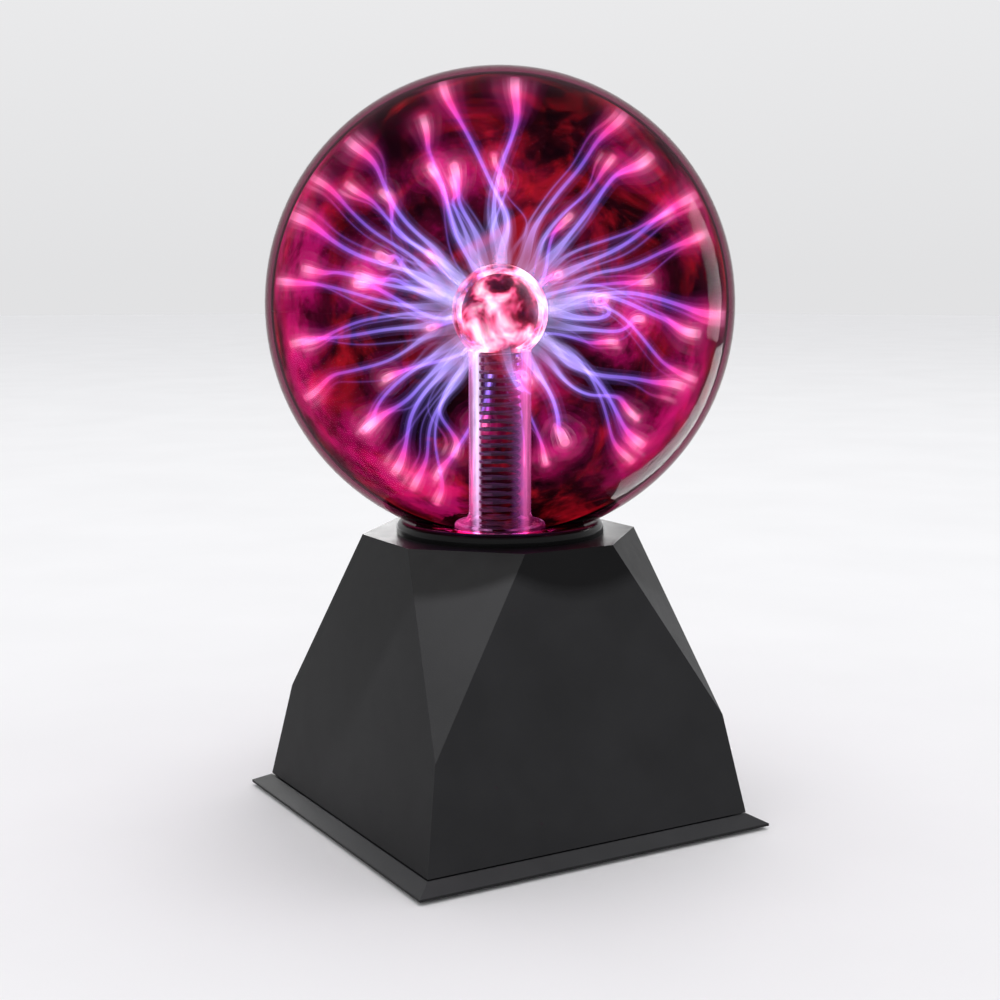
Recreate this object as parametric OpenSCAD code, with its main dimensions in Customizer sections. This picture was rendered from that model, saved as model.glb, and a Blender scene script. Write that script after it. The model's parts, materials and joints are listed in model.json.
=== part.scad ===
// Plasma globe on a faceted four-sided base. Millimetres, +Z up.
// Origin: centre of the footprint, on the surface that the rubber feet stand on.
// The wide base face that looks forwards faces -Y; the switch and power inlet are in the +Y face.

/* [Globe] */
// Outer diameter of the glass globe
globe_d = 150; // [140:1:160]
// Thickness of the globe's glass
globe_glass = 1.8; // [1.4:0.1:2.2]
// Outer diameter of the globe's neck
neck_d = 34; // [33:0.5:36]
// Lowest point of the neck
neck_z = 75; // [74:0.5:77]

/* [Electrode] */
// Outer diameter of the centre bulb
bulb_d = 31; // [28:1:34]
// How far the bulb's centre sits below the globe's centre
bulb_drop = 1.6; // [0:0.2:4]
// Outer diameter of the glass stem that carries the bulb
stem_d = 20.4; // [19:0.2:22]
// Thickness of the stem's and bulb's glass
stem_glass = 1.3; // [1:0.1:1.4]
// Outer diameter of the coil spring that runs up the stem
spring_d = 14; // [13:0.5:15]
// Rise of the spring in one turn
spring_pitch = 2.65; // [2.5:0.05:4]

/* [Base] */
// Height of the faceted housing's flat top
base_h = 94.9; // [92:0.1:98]
// Width of the housing at its bottom edge
housing_bottom_w = 117.2; // [114:0.2:120]
// Width of the housing across two opposite top edges
housing_top_w = 84.8; // [82:0.2:88]
// Length of the top edge that each wide face keeps between the corner facets
top_edge = 32; // [28:1:36]
// Height at which the triangular corner facets start
apex_h = 37.4; // [32:0.2:42]
// Wall of the housing
housing_t = 2.4; // [2:0.1:2.8]
// Width of the square plinth
plinth_w = 128; // [126:1:134]
// Thickness of the plinth
plinth_t = 3.5; // [3.5:0.1:4]
// How far the rubber feet lift the plinth
foot_h = 1.2; // [1:0.1:2]

/* [Rear panel] */
// Sideways place of the power inlet
jack_x = -20; // [-26:1:-16]
// Sideways place of the rocker switch
switch_x = 20; // [14:1:24]
// Height of both on the rear face
panel_z = 26; // [24:1:28]
// Tilt of the rocker either side of level
rocker_tilt = 10; // [8:0.5:10]

/* [Hidden] */
$fn = 72;
root_two = sqrt(2);

// Housing planes
shadow_gap = 0.5;
plinth_top = foot_h + plinth_t;
housing_z = plinth_top + shadow_gap;
wall_slope = (housing_bottom_w - housing_top_w) / 2 / (base_h - housing_z);
wall_lean = atan(wall_slope);
function wall_half(z) = housing_bottom_w / 2 - wall_slope * (z - housing_z);
apex_reach = root_two * wall_half(apex_h);
facet_slope = (apex_reach - (housing_top_w + top_edge) / 2 / root_two) / (base_h - apex_h);
function facet_half(z) = apex_reach - facet_slope * (z - apex_h);

// Base plate, its feet and its screws
plinth_edge = 0.8;
plinth_bevel = plinth_w / 2 - wall_half(housing_z) - 0.3;
lip_t = 1.6;
lip_h = 4.5;
lip_clearance = 0.9;
lip_half = wall_half(plinth_top + 5) - housing_t - lip_clearance;
rib_z = 3;
foot_r = 5.5;
foot_place = 55;
foot_recess = 1;
foot_dimple_r = 2.4;
screw_place = 47;
pad_top = plinth_top + 1.5;
boss_r = 4;
boss_h = 40;
screw_r = 1.45;
pilot_r = 1.55;
through_r = pilot_r + 0.15;
counterbore_z = 3.6;
counterbore_r = 3.3;
pan_head_h = 1.9;
vent_pitch = 6;
vent_size = [3, 30, 10];

// Globe, collar and neck
globe_r = globe_d / 2;
seat_r = 26;
seat_rise = 2.35;
globe_z = base_h + seat_rise + sqrt(globe_r * globe_r - seat_r * seat_r);
function globe_under(r) = globe_z - sqrt(globe_r * globe_r - r * r);
neck_r = neck_d / 2;
neck_bore = neck_r - 1.7;
neck_lip_t = 1.7;
bulb_r = bulb_d / 2;
bulb_z = globe_z - bulb_drop;
stem_r = stem_d / 2;
flare_r = neck_bore - 0.3;
shoulder_r = 1.5;
flare_z = base_h + 3.1;
fillet_r = flare_r - shoulder_r - stem_r;
collar_r = 34;
collar_h = 3.9;
collar_round = [1.8, 2.6];
collar_lip = 0.6;
spigot_r = 23.9;
spigot_bore = 21.5;
spigot_l = 6.6;
gasket_t = 1.2;
gasket_r0 = 24.5;
gasket_r1 = 27.5;
// Height at radius r of the sloping seat under the gasket
function seat_under(r) = globe_under(gasket_r0) - gasket_t
    + (r - gasket_r0) * (globe_under(gasket_r1) - globe_under(gasket_r0)) / (gasket_r1 - gasket_r0);
holder_z = base_h - 6.9;
holder_screw_r = 29;
holder_boss_r = 3.6;
holder_t = 3;
holder_sleeve = 9;

// Spring and terminal
wire_r = 0.6;
coil_r = spring_d / 2 - wire_r;
terminal_top = neck_z + 9.2;
wool_r = bulb_r - stem_glass - 1.8;
wool_plug_r = 5;
spring_low = terminal_top + wire_r + 0.05;
spring_high = bulb_z - sqrt(wool_r * wool_r - coil_r * coil_r) - wire_r - 0.5;

// Circuit board
board_w = 70;
board_d = 50;
board_y = -8;
board_z = 11;
board_t = 1.6;
board_top = board_z + board_t;
standoff_x = 31;
standoff_y = 21;
post_r = 3;
trafo = [-13, -10];
core_w = 32;
core_d = 10;
core_h = 30;
core_leg = 5.5;
centre_leg = 9;
winding_w = 20;
sink_x = 22;
sink_y = -12;
header_y = 13;

// Power inlet, in the rear wall's own frame: x across, y up the wall, z outwards
jack_r = 3.95;
jack_flange_r = 5.5;
jack_bore_r = 2.8;
jack_bore_z = -9;
jack_end_z = -12;
jack_pin_r = 1.05;
lug_z = -16;
lug_y = 2;

// Rocker switch, in the same frame
switch_body = [12.8, 18.9];
switch_bezel = [15, 21];
rocker_half = 5;
rocker_end_r = 8.1;
rocker_middle = 1.9;
sleeve_r = 2.5;
sleeve_l = 5.5;
plunger_r = 1.35;
plunger_z = -6.5;
pivot_z = 0.2;
pivot_pin_r = 1.2;
bezel_h = 2;
frame_depth = 14;
frame_floor = 1.4;
tail_z = -21;
solder_gap = 0.25;
seesaw_z = -7.75;
seesaw_t = 0.8;
fulcrum_r = 0.35;
seesaw_tilt = 0.8 * rocker_tilt;
seesaw_reach = 6;
button_h = 0.5;
contact_y = -5.2;
// Top of the blade that the contact button meets, just under the button when the switch is on.
load_top = seesaw_z - seesaw_t + (contact_y - 0.4) * sin(seesaw_tilt) - button_h * cos(seesaw_tilt) - 0.1;

// Point p of the rear wall's frame at panel place x, in the part's own frame.
function rear_point(x, p) = [
    x - p[0],
    wall_half(panel_z) - p[1] * sin(wall_lean) + p[2] * cos(wall_lean),
    panel_z + p[1] * cos(wall_lean) + p[2] * sin(wall_lean)
];

module on_rear_wall(x) {
    translate([x, wall_half(panel_z), panel_z])
        rotate([wall_lean - 90, 0, 0])
            rotate([0, 0, 180])
                children();
}

module at_corners(place) {
    for (turn = [0:3])
        rotate(90 * turn)
            translate([place, place, 0])
                children();
}

// ---- Shared shapes ----

// A long prism along Y whose XZ section is given.
module section_prism(section, length) {
    rotate([90, 0, 0])
        linear_extrude(height = length, center = true)
            polygon(section);
}

function taper(low, high, z_low, z_high) = [[-low, z_low], [low, z_low], [high, z_high], [-high, z_high]];

// The base's faceted solid between two heights, shrunk by inset on every side.
module faceted_body(inset, z_low, z_high) {
    wall_in = inset * sqrt(1 + wall_slope * wall_slope);
    facet_in = inset * sqrt(1 + facet_slope * facet_slope);
    wall = taper(wall_half(z_low) - wall_in, wall_half(z_high) - wall_in, z_low, z_high);
    facet = taper(facet_half(z_low) - facet_in, facet_half(z_high) - facet_in, z_low, z_high);
    intersection_for (turn = [0:3])
        rotate(45 * turn)
            section_prism(turn % 2 == 0 ? wall : facet, 3 * housing_bottom_w);
}

// A plate whose upper edges slope in by bevel above a short upright edge.
module bevelled_plate(half_x, half_y, height, edge, bevel) {
    function side(half) = [
        [-half, 0], [half, 0], [half, edge], [half - bevel, height], [bevel - half, height], [-half, edge]
    ];
    intersection() {
        section_prism(side(half_x), 2 * half_y + 1);
        rotate(90)
            section_prism(side(half_y), 2 * half_x + 1);
    }
}

module block(size, z) {
    translate([-size[0] / 2, -size[1] / 2, z])
        cube(size);
}

module ring(outer, inner, z_low, z_high) {
    translate([0, 0, z_low])
        difference() {
            cylinder(r = outer, h = z_high - z_low);
            translate([0, 0, -1])
                cylinder(r = inner, h = z_high - z_low + 2);
        }
}

// A pan-head screw standing on its head, its head's underside at z = 0.
module pan_screw(shank_r, length, head_r, head_h) {
    cylinder(r = shank_r, h = length);
    difference() {
        translate([0, 0, -head_h])
            cylinder(r = head_r, h = head_h);
        for (turn = [0, 90])
            rotate(turn)
                translate([-head_r * 0.6, -0.4, -head_h - 0.1])
                    cube([head_r * 1.2, 0.8, 1.1]);
    }
}

// Tubes along a path: a closed mesh of rings, each square to the path.
function unit(v) = v / norm(v);
function heading(path, i) = unit(path[min(i + 1, len(path) - 1)] - path[max(i - 1, 0)]);
function ring_points(centre, along, side, r, sides) =
    let (a = unit(cross(along, side)), b = cross(along, a))
    [for (k = [0:sides - 1]) centre + r * (cos(360 * k / sides) * a + sin(360 * k / sides) * b)];

module tube(path, side, r, sides = 8) {
    rings = len(path);
    points = [for (i = [0:rings - 1]) each ring_points(path[i], heading(path, i), side, r, sides)];
    walls = [
        for (i = [0:rings - 2], k = [0:sides - 1])
            let (n = (k + 1) % sides, low = i * sides, high = low + sides)
            each [[low + k, low + n, high + n], [low + k, high + n, high + k]]
    ];
    start = [for (k = [sides - 1:-1:0]) k];
    end = [for (k = [0:sides - 1]) (rings - 1) * sides + k];
    polyhedron(points, concat([start], walls, [end]), convexity = 10);
}

// A smooth curve through points, with a number of steps between each two.
function between(p, i, t) =
    let (a = p[max(i - 1, 0)], b = p[i], c = p[i + 1], d = p[min(i + 2, len(p) - 1)])
    0.5 * (2 * b + (c - a) * t + (2 * a - 5 * b + 4 * c - d) * t * t + (3 * b - a - 3 * c + d) * t * t * t);
function smooth(p, steps) = concat(
    [for (i = [0:len(p) - 2], s = [0:steps - 1]) between(p, i, s / steps)],
    [p[len(p) - 1]]
);

// A coil spring about Z between two heights, its rings square to the helix.
module coil_spring(r, wire, z_low, z_high, pitch, steps, sides) {
    turns = (z_high - z_low) / pitch;
    count = ceil(turns * steps);
    path = [
        for (i = [0:count])
            let (a = 360 * turns * i / count)
            [r * cos(a), r * sin(a), z_low + (z_high - z_low) * i / count]
    ];
    tube(path, [0, 0, 1], wire, sides);
}

// ---- Base ----

module base_plate() color("#1f2022")
    difference() {
        union() {
            translate([0, 0, foot_h])
                bevelled_plate(plinth_w / 2, plinth_w / 2, plinth_t, plinth_edge, plinth_bevel);
            difference() {
                block([2 * lip_half, 2 * lip_half, plinth_top - rib_z + lip_h], rib_z);
                block([2 * (lip_half - lip_t), 2 * (lip_half - lip_t), 20], plinth_top);
            }
            at_corners(screw_place)
                translate([0, 0, rib_z])
                    cylinder(r = boss_r + 1, h = pad_top - rib_z);
            board_posts(post_r, rib_z, board_z);
        }
        at_corners(screw_place) {
            cylinder(r = through_r, h = 20);
            cylinder(r = counterbore_r, h = counterbore_z);
        }
        at_corners(foot_place)
            cylinder(r = foot_r + 0.1, h = foot_h + foot_recess);
        board_posts(pilot_r, plinth_top, board_z + 1);
        for (i = [-3:3])
            translate([vent_pitch * i, 0, 0])
                block(vent_size, -1);
    }

module board_posts(r, z_low, z_high) {
    for (x = [-standoff_x, standoff_x], y = [-standoff_y, standoff_y])
        translate([x, board_y + y, z_low])
            cylinder(r = r, h = z_high - z_low);
}

module rubber_feet() color("#141414")
    at_corners(foot_place)
        difference() {
            cylinder(r = foot_r, h = foot_h + foot_recess);
            translate([0, 0, -0.5])
                cylinder(r = foot_dimple_r, h = 1);
        }

module base_screws() color("#9a9ca0")
    at_corners(screw_place)
        translate([0, 0, counterbore_z])
            pan_screw(screw_r, 12, 2.9, pan_head_h);

module base_housing() color("#2b2c2f")
    difference() {
        union() {
            difference() {
                faceted_body(0, housing_z, base_h);
                faceted_body(housing_t, housing_z - 1, base_h - housing_t);
            }
            intersection() {
                faceted_body(1, pad_top, base_h - 1);
                at_corners(screw_place)
                    translate([0, 0, pad_top])
                        cylinder(r = boss_r, h = boss_h);
            }
            holder_pattern()
                translate([0, 0, holder_z])
                    cylinder(r = holder_boss_r, h = base_h - 1 - holder_z);
        }
        translate([0, 0, base_h - 10])
            cylinder(r = spigot_r + 0.1, h = 20);
        at_corners(screw_place)
            translate([0, 0, pad_top - 1])
                cylinder(r = pilot_r, h = 12);
        holder_pattern()
            translate([0, 0, holder_z - 1])
                cylinder(r = pilot_r, h = 5.4);
        on_rear_wall(jack_x)
            translate([0, 0, -6])
                cylinder(r = jack_r + 0.1, h = 12);
        on_rear_wall(switch_x)
            cube([switch_body[0] + 0.1, switch_body[1] + 0.1, 12], center = true);
    }

module holder_pattern() {
    for (turn = [0:2])
        rotate(120 * turn + 90)
            translate([holder_screw_r, 0, 0])
                children();
}

// ---- Globe and its seat ----

module globe_collar() color("#0c0c0d")
    rotate_extrude()
        translate([0, base_h])
            polygon(concat(
                [[spigot_bore, -spigot_l], [spigot_r, -spigot_l], [spigot_r, 0], [collar_r, 0]],
                [for (a = [0:10:90]) [collar_r - collar_round[0] + collar_round[0] * cos(a),
                                      collar_h - collar_round[1] + collar_round[1] * sin(a)]],
                [for (a = [90:30:180]) [collar_r - 2.3 + collar_lip * cos(a),
                                        collar_h - collar_lip + collar_lip * sin(a)]],
                [[gasket_r1 + 0.4, seat_under(gasket_r1 + 0.4) - base_h]],
                [[gasket_r0 - 0.3, seat_under(gasket_r0 - 0.3) - base_h]],
                [[spigot_bore, 0.2]]
            ));

module globe_gasket() color("#1c1c1c")
    rotate_extrude()
        polygon(concat(
            [for (r = [gasket_r0:0.5:gasket_r1]) [r, globe_under(r) - 0.02]],
            [[gasket_r1, seat_under(gasket_r1) + 0.03], [gasket_r0, seat_under(gasket_r0) + 0.03]]
        ));

module glass_globe() color("#d8c4ff", 0.3)
    difference() {
        union() {
            translate([0, 0, globe_z])
                sphere(r = globe_r);
            translate([0, 0, neck_z])
                cylinder(r = neck_r, h = globe_z - globe_r - neck_z + 4);
        }
        translate([0, 0, globe_z])
            sphere(r = globe_r - globe_glass);
        translate([0, 0, neck_z + neck_lip_t])
            cylinder(r = neck_bore, h = globe_z - globe_r - neck_z + 6);
        translate([0, 0, neck_z - 1])
            cylinder(r = neck_bore - 1.6, h = 4);
    }

// Outline of the flared foot, shrunk by inset, from its axis outwards.
function flare_outline(inset, z_low) = concat(
    [[0, z_low], [flare_r - inset, z_low]],
    [for (a = [0:15:90]) [flare_r - shoulder_r + (shoulder_r - inset) * cos(a),
                          flare_z - shoulder_r + (shoulder_r - inset) * sin(a)]],
    [for (a = [15:15:90]) [flare_r - shoulder_r - (fillet_r + inset) * sin(a),
                           flare_z + fillet_r - (fillet_r + inset) * cos(a)]],
    [[0, flare_z + fillet_r]]
);

module electrode_form(inset, z_low) {
    rotate_extrude()
        polygon(flare_outline(inset, z_low));
    translate([0, 0, flare_z + 1])
        cylinder(r = stem_r - inset, h = bulb_z - flare_z - 1);
    translate([0, 0, bulb_z])
        sphere(r = bulb_r - inset);
}

module electrode_glass() color("#ffb8d8", 0.5)
    difference() {
        electrode_form(0, neck_z + neck_lip_t + 0.05);
        electrode_form(stem_glass, neck_z);
    }

module electrode_wool() color("#d0c0c8") {
    translate([0, 0, bulb_z])
        sphere(r = wool_r);
    translate([0, 0, bulb_z - wool_r - 6])
        cylinder(r = wool_plug_r, h = 8);
}

module electrode_spring() color("#b9bcc4")
    coil_spring(coil_r, wire_r, spring_low, spring_high, spring_pitch, 16, 8);

module hv_terminal() color("#c9a227") {
    translate([0, 0, terminal_top])
        cylinder(r = coil_r - wire_r - 0.3, h = 4);
    translate([0, 0, terminal_top - 1.2])
        cylinder(r = coil_r + 1.8, h = 1.2);
    translate([0, 0, neck_z - 8])
        cylinder(r = 2.5, h = terminal_top - neck_z + 7);
}

module neck_plug() color("#e8e8e4")
    difference() {
        union() {
            translate([0, 0, neck_z - 3])
                cylinder(r = neck_r - 1, h = 2.95);
            translate([0, 0, neck_z - 1])
                cylinder(r = flare_r - stem_glass - 0.3, h = terminal_top - 1.2 - neck_z + 1);
        }
        translate([0, 0, neck_z - 4])
            cylinder(r = 2.55, h = 20);
    }

module neck_seal() color("#d9dcd8")
    ring(neck_r + 0.98, neck_r + 0.02, holder_z - 8, holder_z - 2);

module globe_holder() color("#e6e6e2")
    difference() {
        union() {
            translate([0, 0, holder_z - holder_t])
                cylinder(r = holder_screw_r + 4.5, h = holder_t);
            translate([0, 0, holder_z - holder_sleeve])
                cylinder(r = neck_r + 4, h = holder_sleeve);
        }
        translate([0, 0, holder_z - 10])
            cylinder(r = neck_r + 1, h = 20);
        holder_pattern()
            translate([0, 0, holder_z - holder_t - 1])
                cylinder(r = through_r, h = holder_t + 2);
    }

module holder_screws() color("#9a9ca0")
    holder_pattern()
        translate([0, 0, holder_z - holder_t])
            pan_screw(screw_r, 7, 2.8, pan_head_h);

// ---- Driver electronics ----

module circuit_board() color("#14532d")
    difference() {
        translate([0, board_y, 0])
            block([board_w, board_d, board_t], board_z);
        board_posts(through_r, board_z - 1, board_top + 1);
    }

module board_screws() color("#9a9ca0")
    for (x = [-standoff_x, standoff_x], y = [-standoff_y, standoff_y])
        translate([x, board_y + y, board_top])
            mirror([0, 0, 1])
                pan_screw(screw_r, 6, 2.7, 1.8);

module transformer_core() color("#3a3a3d")
    translate([trafo[0], trafo[1], 0])
        difference() {
            block([core_w, core_d, core_h], board_top + 2);
            for (side = [-1, 1])
                translate([side * (core_w / 2 - core_leg + centre_leg / 2) / 2, 0, 0])
                    block([core_w / 2 - core_leg - centre_leg / 2, core_d + 1, core_h - 2 * core_leg],
                          board_top + 2 + core_leg);
        }

// The bobbin's flanges, tube and solder pins around the core's centre leg.
module transformer_bobbin() color("#1b1b1d")
    translate([trafo[0], trafo[1], 0])
        difference() {
            union() {
                for (z = [board_top + 7.6, board_top + 24.9])
                    block([winding_w + 0.6, 20, 1.4], z);
                block([centre_leg + 2, core_d + 2.4, 18], board_top + 8);
                for (x = [-8, -4, 4, 8], y = [-8.5, 8.5])
                    translate([x, y, board_top])
                        cylinder(r = 0.5, h = 8);
            }
            block([centre_leg + 0.2, core_d + 0.2, 30], board_top + 2);
        }

module transformer_winding() color("#d8a13a")
    translate([trafo[0], trafo[1], 0])
        difference() {
            block([winding_w, 19, 15.8], board_top + 9.05);
            block([centre_leg + 2.05, core_d + 2.45, 20], board_top + 8);
        }

module heatsink() color("#b4b7bb")
    translate([sink_x, sink_y, 0])
        difference() {
            union() {
                block([3, 28, 26], board_top);
                for (i = [0:5])
                    translate([5.4, -13 + 5.2 * i, 0])
                        block([9, 1.6, 26], board_top);
            }
            translate([-2, 0, board_top + 19])
                rotate([0, 90, 0])
                    cylinder(r = 1.3, h = 4);
        }

module power_transistor() color("#202022")
    translate([sink_x - 1.5, sink_y, board_top]) {
        difference() {
            union() {
                translate([-4.4, -5, 6])
                    cube([4.4, 10, 9]);
                translate([-1.3, -5, 14.9])
                    cube([1.3, 10, 6.6]);
            }
            translate([-3, 0, 19])
                rotate([0, 90, 0])
                    cylinder(r = 1.8, h = 4);
        }
        for (y = [-2.54, 0, 2.54])
            translate([-2.6, y - 0.4, 0])
                cube([0.6, 0.8, 6.1]);
    }

module transistor_screw() color("#9a9ca0")
    translate([sink_x - 2.85, sink_y, board_top + 19])
        rotate([0, 90, 0])
            pan_screw(1.25, 4, 2.6, 1.8);

module timer_chip() color("#18181a")
    translate([9, -28, board_top]) {
        difference() {
            block([9.6, 6.4, 3.4], 0.6);
            translate([-5, 0, 4.4])
                rotate([0, 90, 0])
                    cylinder(r = 0.9, h = 2);
        }
        for (i = [0:3], side = [-1, 1])
            translate([-3.81 + 2.54 * i, side * 3.6, 0])
                block([0.6, 0.8, 2.2], 0);
    }

module electrolytic_capacitors() color("#23355c") {
    translate([22.5, 10, board_top])
        can(5, 17);
    translate([12, 9, board_top])
        can(3.9, 12);
}

// An upright capacitor can with its crimped groove.
module can(r, h) {
    difference() {
        cylinder(r = r, h = h);
        translate([0, 0, 1.5])
            ring(r + 1, r - 0.4, 0, 0.8);
        for (turn = [0, 90])
            rotate(turn)
                block([1.4 * r, 0.3, 0.5], h - 0.3);
    }
}

module film_capacitor() color("#8c1f1f")
    translate([-20.5, 8, 0])
        block([13, 5.5, 10.5], board_top);

module resistors() color("#cdb38a")
    for (i = [0:2])
        translate([-23 + 7 * i, -28, board_top]) {
            translate([0, 0, 1.6])
                rotate([90, 0, 0]) {
                    cylinder(r = 1.2, h = 6, center = true);
                    cylinder(r = 0.35, h = 8, center = true);
                }
            for (side = [-1, 1])
                translate([0, side * 3.8, 0])
                    cylinder(r = 0.35, h = 1.9);
        }

module supply_header() color("#ece7da")
    translate([0, header_y, 0])
        difference() {
            block([8, 5.8, 7], board_top);
            block([6.4, 4.2, 8], board_top + 3);
        }

// ---- Power inlet, in the rear wall's frame ----

module dc_jack_shell() color("#101012")
    on_rear_wall(jack_x)
        difference() {
            union() {
                ring(jack_flange_r, jack_bore_r, 0, 2);
                translate([0, 0, jack_end_z])
                    cylinder(r = jack_r, h = 0.5 - jack_end_z);
            }
            translate([0, 0, jack_bore_z])
                cylinder(r = jack_bore_r, h = 20);
        }

module dc_jack_pin() color("#c8c9cc")
    on_rear_wall(jack_x)
        translate([0, 0, jack_bore_z]) {
            cylinder(r = jack_pin_r, h = 9.3);
            translate([0, 0, 9.3])
                cylinder(r1 = jack_pin_r, r2 = 0.7, h = 0.3);
        }

module dc_jack_nut() color("#b5b7ba")
    on_rear_wall(jack_x)
        translate([0, 0, -housing_t - 2.2])
            difference() {
                cylinder(r = 6.4, h = 2.2, $fn = 6);
                translate([0, 0, -1])
                    cylinder(r = jack_r + 0.05, h = 5);
            }

module dc_jack_lugs() color("#c9a227")
    on_rear_wall(jack_x)
        for (y = [-lug_y, lug_y])
            translate([0, y, lug_z])
                difference() {
                    block([2.4, 0.5, jack_end_z - lug_z], 0);
                    translate([0, 1, 1.3])
                        rotate([90, 0, 0])
                            cylinder(r = 0.6, h = 2);
                }

// ---- Rocker switch, in the rear wall's frame ----

module switch_frame() color("#121214")
    on_rear_wall(switch_x)
        difference() {
            union() {
                bevelled_plate(switch_bezel[0] / 2, switch_bezel[1] / 2, bezel_h, 0.8, 0.9);
                block([switch_body[0], switch_body[1], frame_depth + 0.5], -frame_depth);
                for (side = [-1, 1])
                    mirror([0, side > 0 ? 0 : 1, 0])
                        translate([0, 9.4, 0])
                            rotate([0, -90, 0])
                                linear_extrude(height = 6, center = true)
                                    polygon([[-housing_t - 0.1, 0], [-housing_t - 0.1, 0.8], [-7, 0]]);
            }
            block([2 * rocker_half + 0.6, 17, 20], frame_floor - frame_depth);
            for (side = [-1, 1])
                translate([side * (rocker_half + 0.8), 0, pivot_z])
                    rotate([0, 90, 0])
                        cylinder(r = pivot_pin_r + 0.05, h = 1.5, center = true);
            for (y = [0, contact_y])
                translate([0, y, 0])
                    block([4.9, 0.9, 5], -frame_depth - 1);
        }

module common_terminal() color("#c9a227")
    on_rear_wall(switch_x)
        union() {
            terminal_tab(0, seesaw_z - seesaw_t - 0.15);
            translate([0, 0, seesaw_z - seesaw_t])
                rotate([0, 90, 0])
                    cylinder(r = fulcrum_r, h = 4.8, center = true);
        }

module load_terminal() color("#c9a227")
    on_rear_wall(switch_x)
        terminal_tab(contact_y, load_top);

// A blade with a solder eye, its top at z_top.
module terminal_tab(y, z_top) {
    translate([0, y, 0])
        difference() {
            block([4.8, 0.8, z_top - tail_z], tail_z);
            translate([0, 1, tail_z + 2.2])
                rotate([90, 0, 0])
                    cylinder(r = 0.9, h = 2);
        }
}

// What follows moves with the rocker, drawn with its upper end pressed in.
module tilted_with_rocker() {
    on_rear_wall(switch_x)
        translate([0, 0, pivot_z])
            rotate([-rocker_tilt, 0, 0])
                children();
}

module rocker() color("#17171a")
    tilted_with_rocker()
        difference() {
            union() {
                rotate([90, 0, 90])
                    linear_extrude(height = 2 * rocker_half, center = true)
                        polygon(concat(
                            [for (a = [-14:5:21]) rocker_end_r * [cos(a), sin(a)]],
                            [[0, rocker_middle]],
                            [for (a = [21:-5:-14]) rocker_end_r * [-cos(a), sin(a)]]
                        ));
                translate([0, 0, -sleeve_l])
                    cylinder(r = sleeve_r, h = 5);
                rotate([0, 90, 0])
                    cylinder(r = pivot_pin_r, h = 2 * rocker_half + 2.2, center = true);
            }
            translate([0, 0, -sleeve_l - 0.5])
                cylinder(r = plunger_r + 0.1, h = 5.6);
        }

module rocker_plunger() color("#e4e4e0")
    tilted_with_rocker() {
        translate([0, 0, plunger_z])
            cylinder(r = plunger_r, h = 3);
        translate([0, 0, plunger_z])
            sphere(r = plunger_r);
    }

module rocker_spring() color("#b9bcc4")
    tilted_with_rocker()
        coil_spring(1.05, 0.2, -3.2, -0.7, 0.7, 10, 6);

module seesaw_contact() color("#b87333")
    on_rear_wall(switch_x)
        translate([0, 0, seesaw_z - seesaw_t])
            rotate([seesaw_tilt, 0, 0])
                difference() {
                    union() {
                        block([4, 2 * seesaw_reach, seesaw_t], 0);
                        translate([0, contact_y, -button_h])
                            cylinder(r = 1, h = button_h + 0.1);
                    }
                    rotate([0, 90, 0])
                        cylinder(r = fulcrum_r + 0.05, h = 6, center = true);
                }

// ---- Leads ----

lead_r = 0.9;
lead_run = 3;
lug_end = lug_z - solder_gap;
lug_out = lug_z - lead_run;
tail_end = tail_z - solder_gap;
tail_out = tail_z - lead_run;
board_plus = [1.6, header_y, board_top + 3.1];
board_minus = [-1.6, header_y, board_top + 3.1];
above_header = 25;

module supply_leads() {
    color("#c02020")
        tube(smooth([
            rear_point(jack_x, [0, lug_y, lug_end]), rear_point(jack_x, [0, lug_y, lug_out]),
            [-14, 30, 24], [0, 27, 24], [14, 28, 22],
            rear_point(switch_x, [0, 0, tail_out]), rear_point(switch_x, [0, 0, tail_end])
        ], 5), [0.3, 0, 1], lead_r);
    color("#c02020")
        tube(smooth([
            rear_point(switch_x, [0, contact_y, tail_end]), rear_point(switch_x, [0, contact_y, tail_out]),
            [13, 25, 15], [5, 18, 20], [board_plus[0], header_y, above_header], board_plus
        ], 5), [1, -0.4, 0], lead_r);
    color("#202020")
        tube(smooth([
            rear_point(jack_x, [0, -lug_y, lug_end]), rear_point(jack_x, [0, -lug_y, lug_out]),
            [-14, 27, 17], [-6, 19, 21], [board_minus[0], header_y, above_header], board_minus
        ], 5), [1, 0.4, 0], lead_r);
}

// The high-voltage lead, from the top of the winding up to the terminal's pin.
hv_lead_r = 1.6;

module hv_lead() color("#a01818")
    tube(smooth([
        [trafo[0], trafo[1] + 7, board_top + 26.4], [trafo[0], trafo[1] + 7.5, board_top + 31],
        [trafo[0] + 3, 2, 50], [-4, 3, 56], [0, 0, 62], [0, 0, neck_z - 8 - solder_gap]
    ], 5), [1, 0.3, 0], hv_lead_r);

base_plate();
rubber_feet();
base_screws();
base_housing();
globe_collar();
globe_gasket();
glass_globe();
electrode_glass();
electrode_wool();
electrode_spring();
hv_terminal();
neck_plug();
neck_seal();
globe_holder();
holder_screws();
hv_lead();
circuit_board();
board_screws();
transformer_core();
transformer_bobbin();
transformer_winding();
heatsink();
power_transistor();
transistor_screw();
timer_chip();
electrolytic_capacitors();
film_capacitor();
resistors();
supply_header();
dc_jack_shell();
dc_jack_pin();
dc_jack_nut();
dc_jack_lugs();
switch_frame();
common_terminal();
load_terminal();
rocker();
rocker_plunger();
rocker_spring();
seesaw_contact();
supply_leads();
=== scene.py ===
import json
import math
import random

import bmesh
import bpy
import numpy as np
from mathutils import Matrix, Vector, noise


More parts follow.
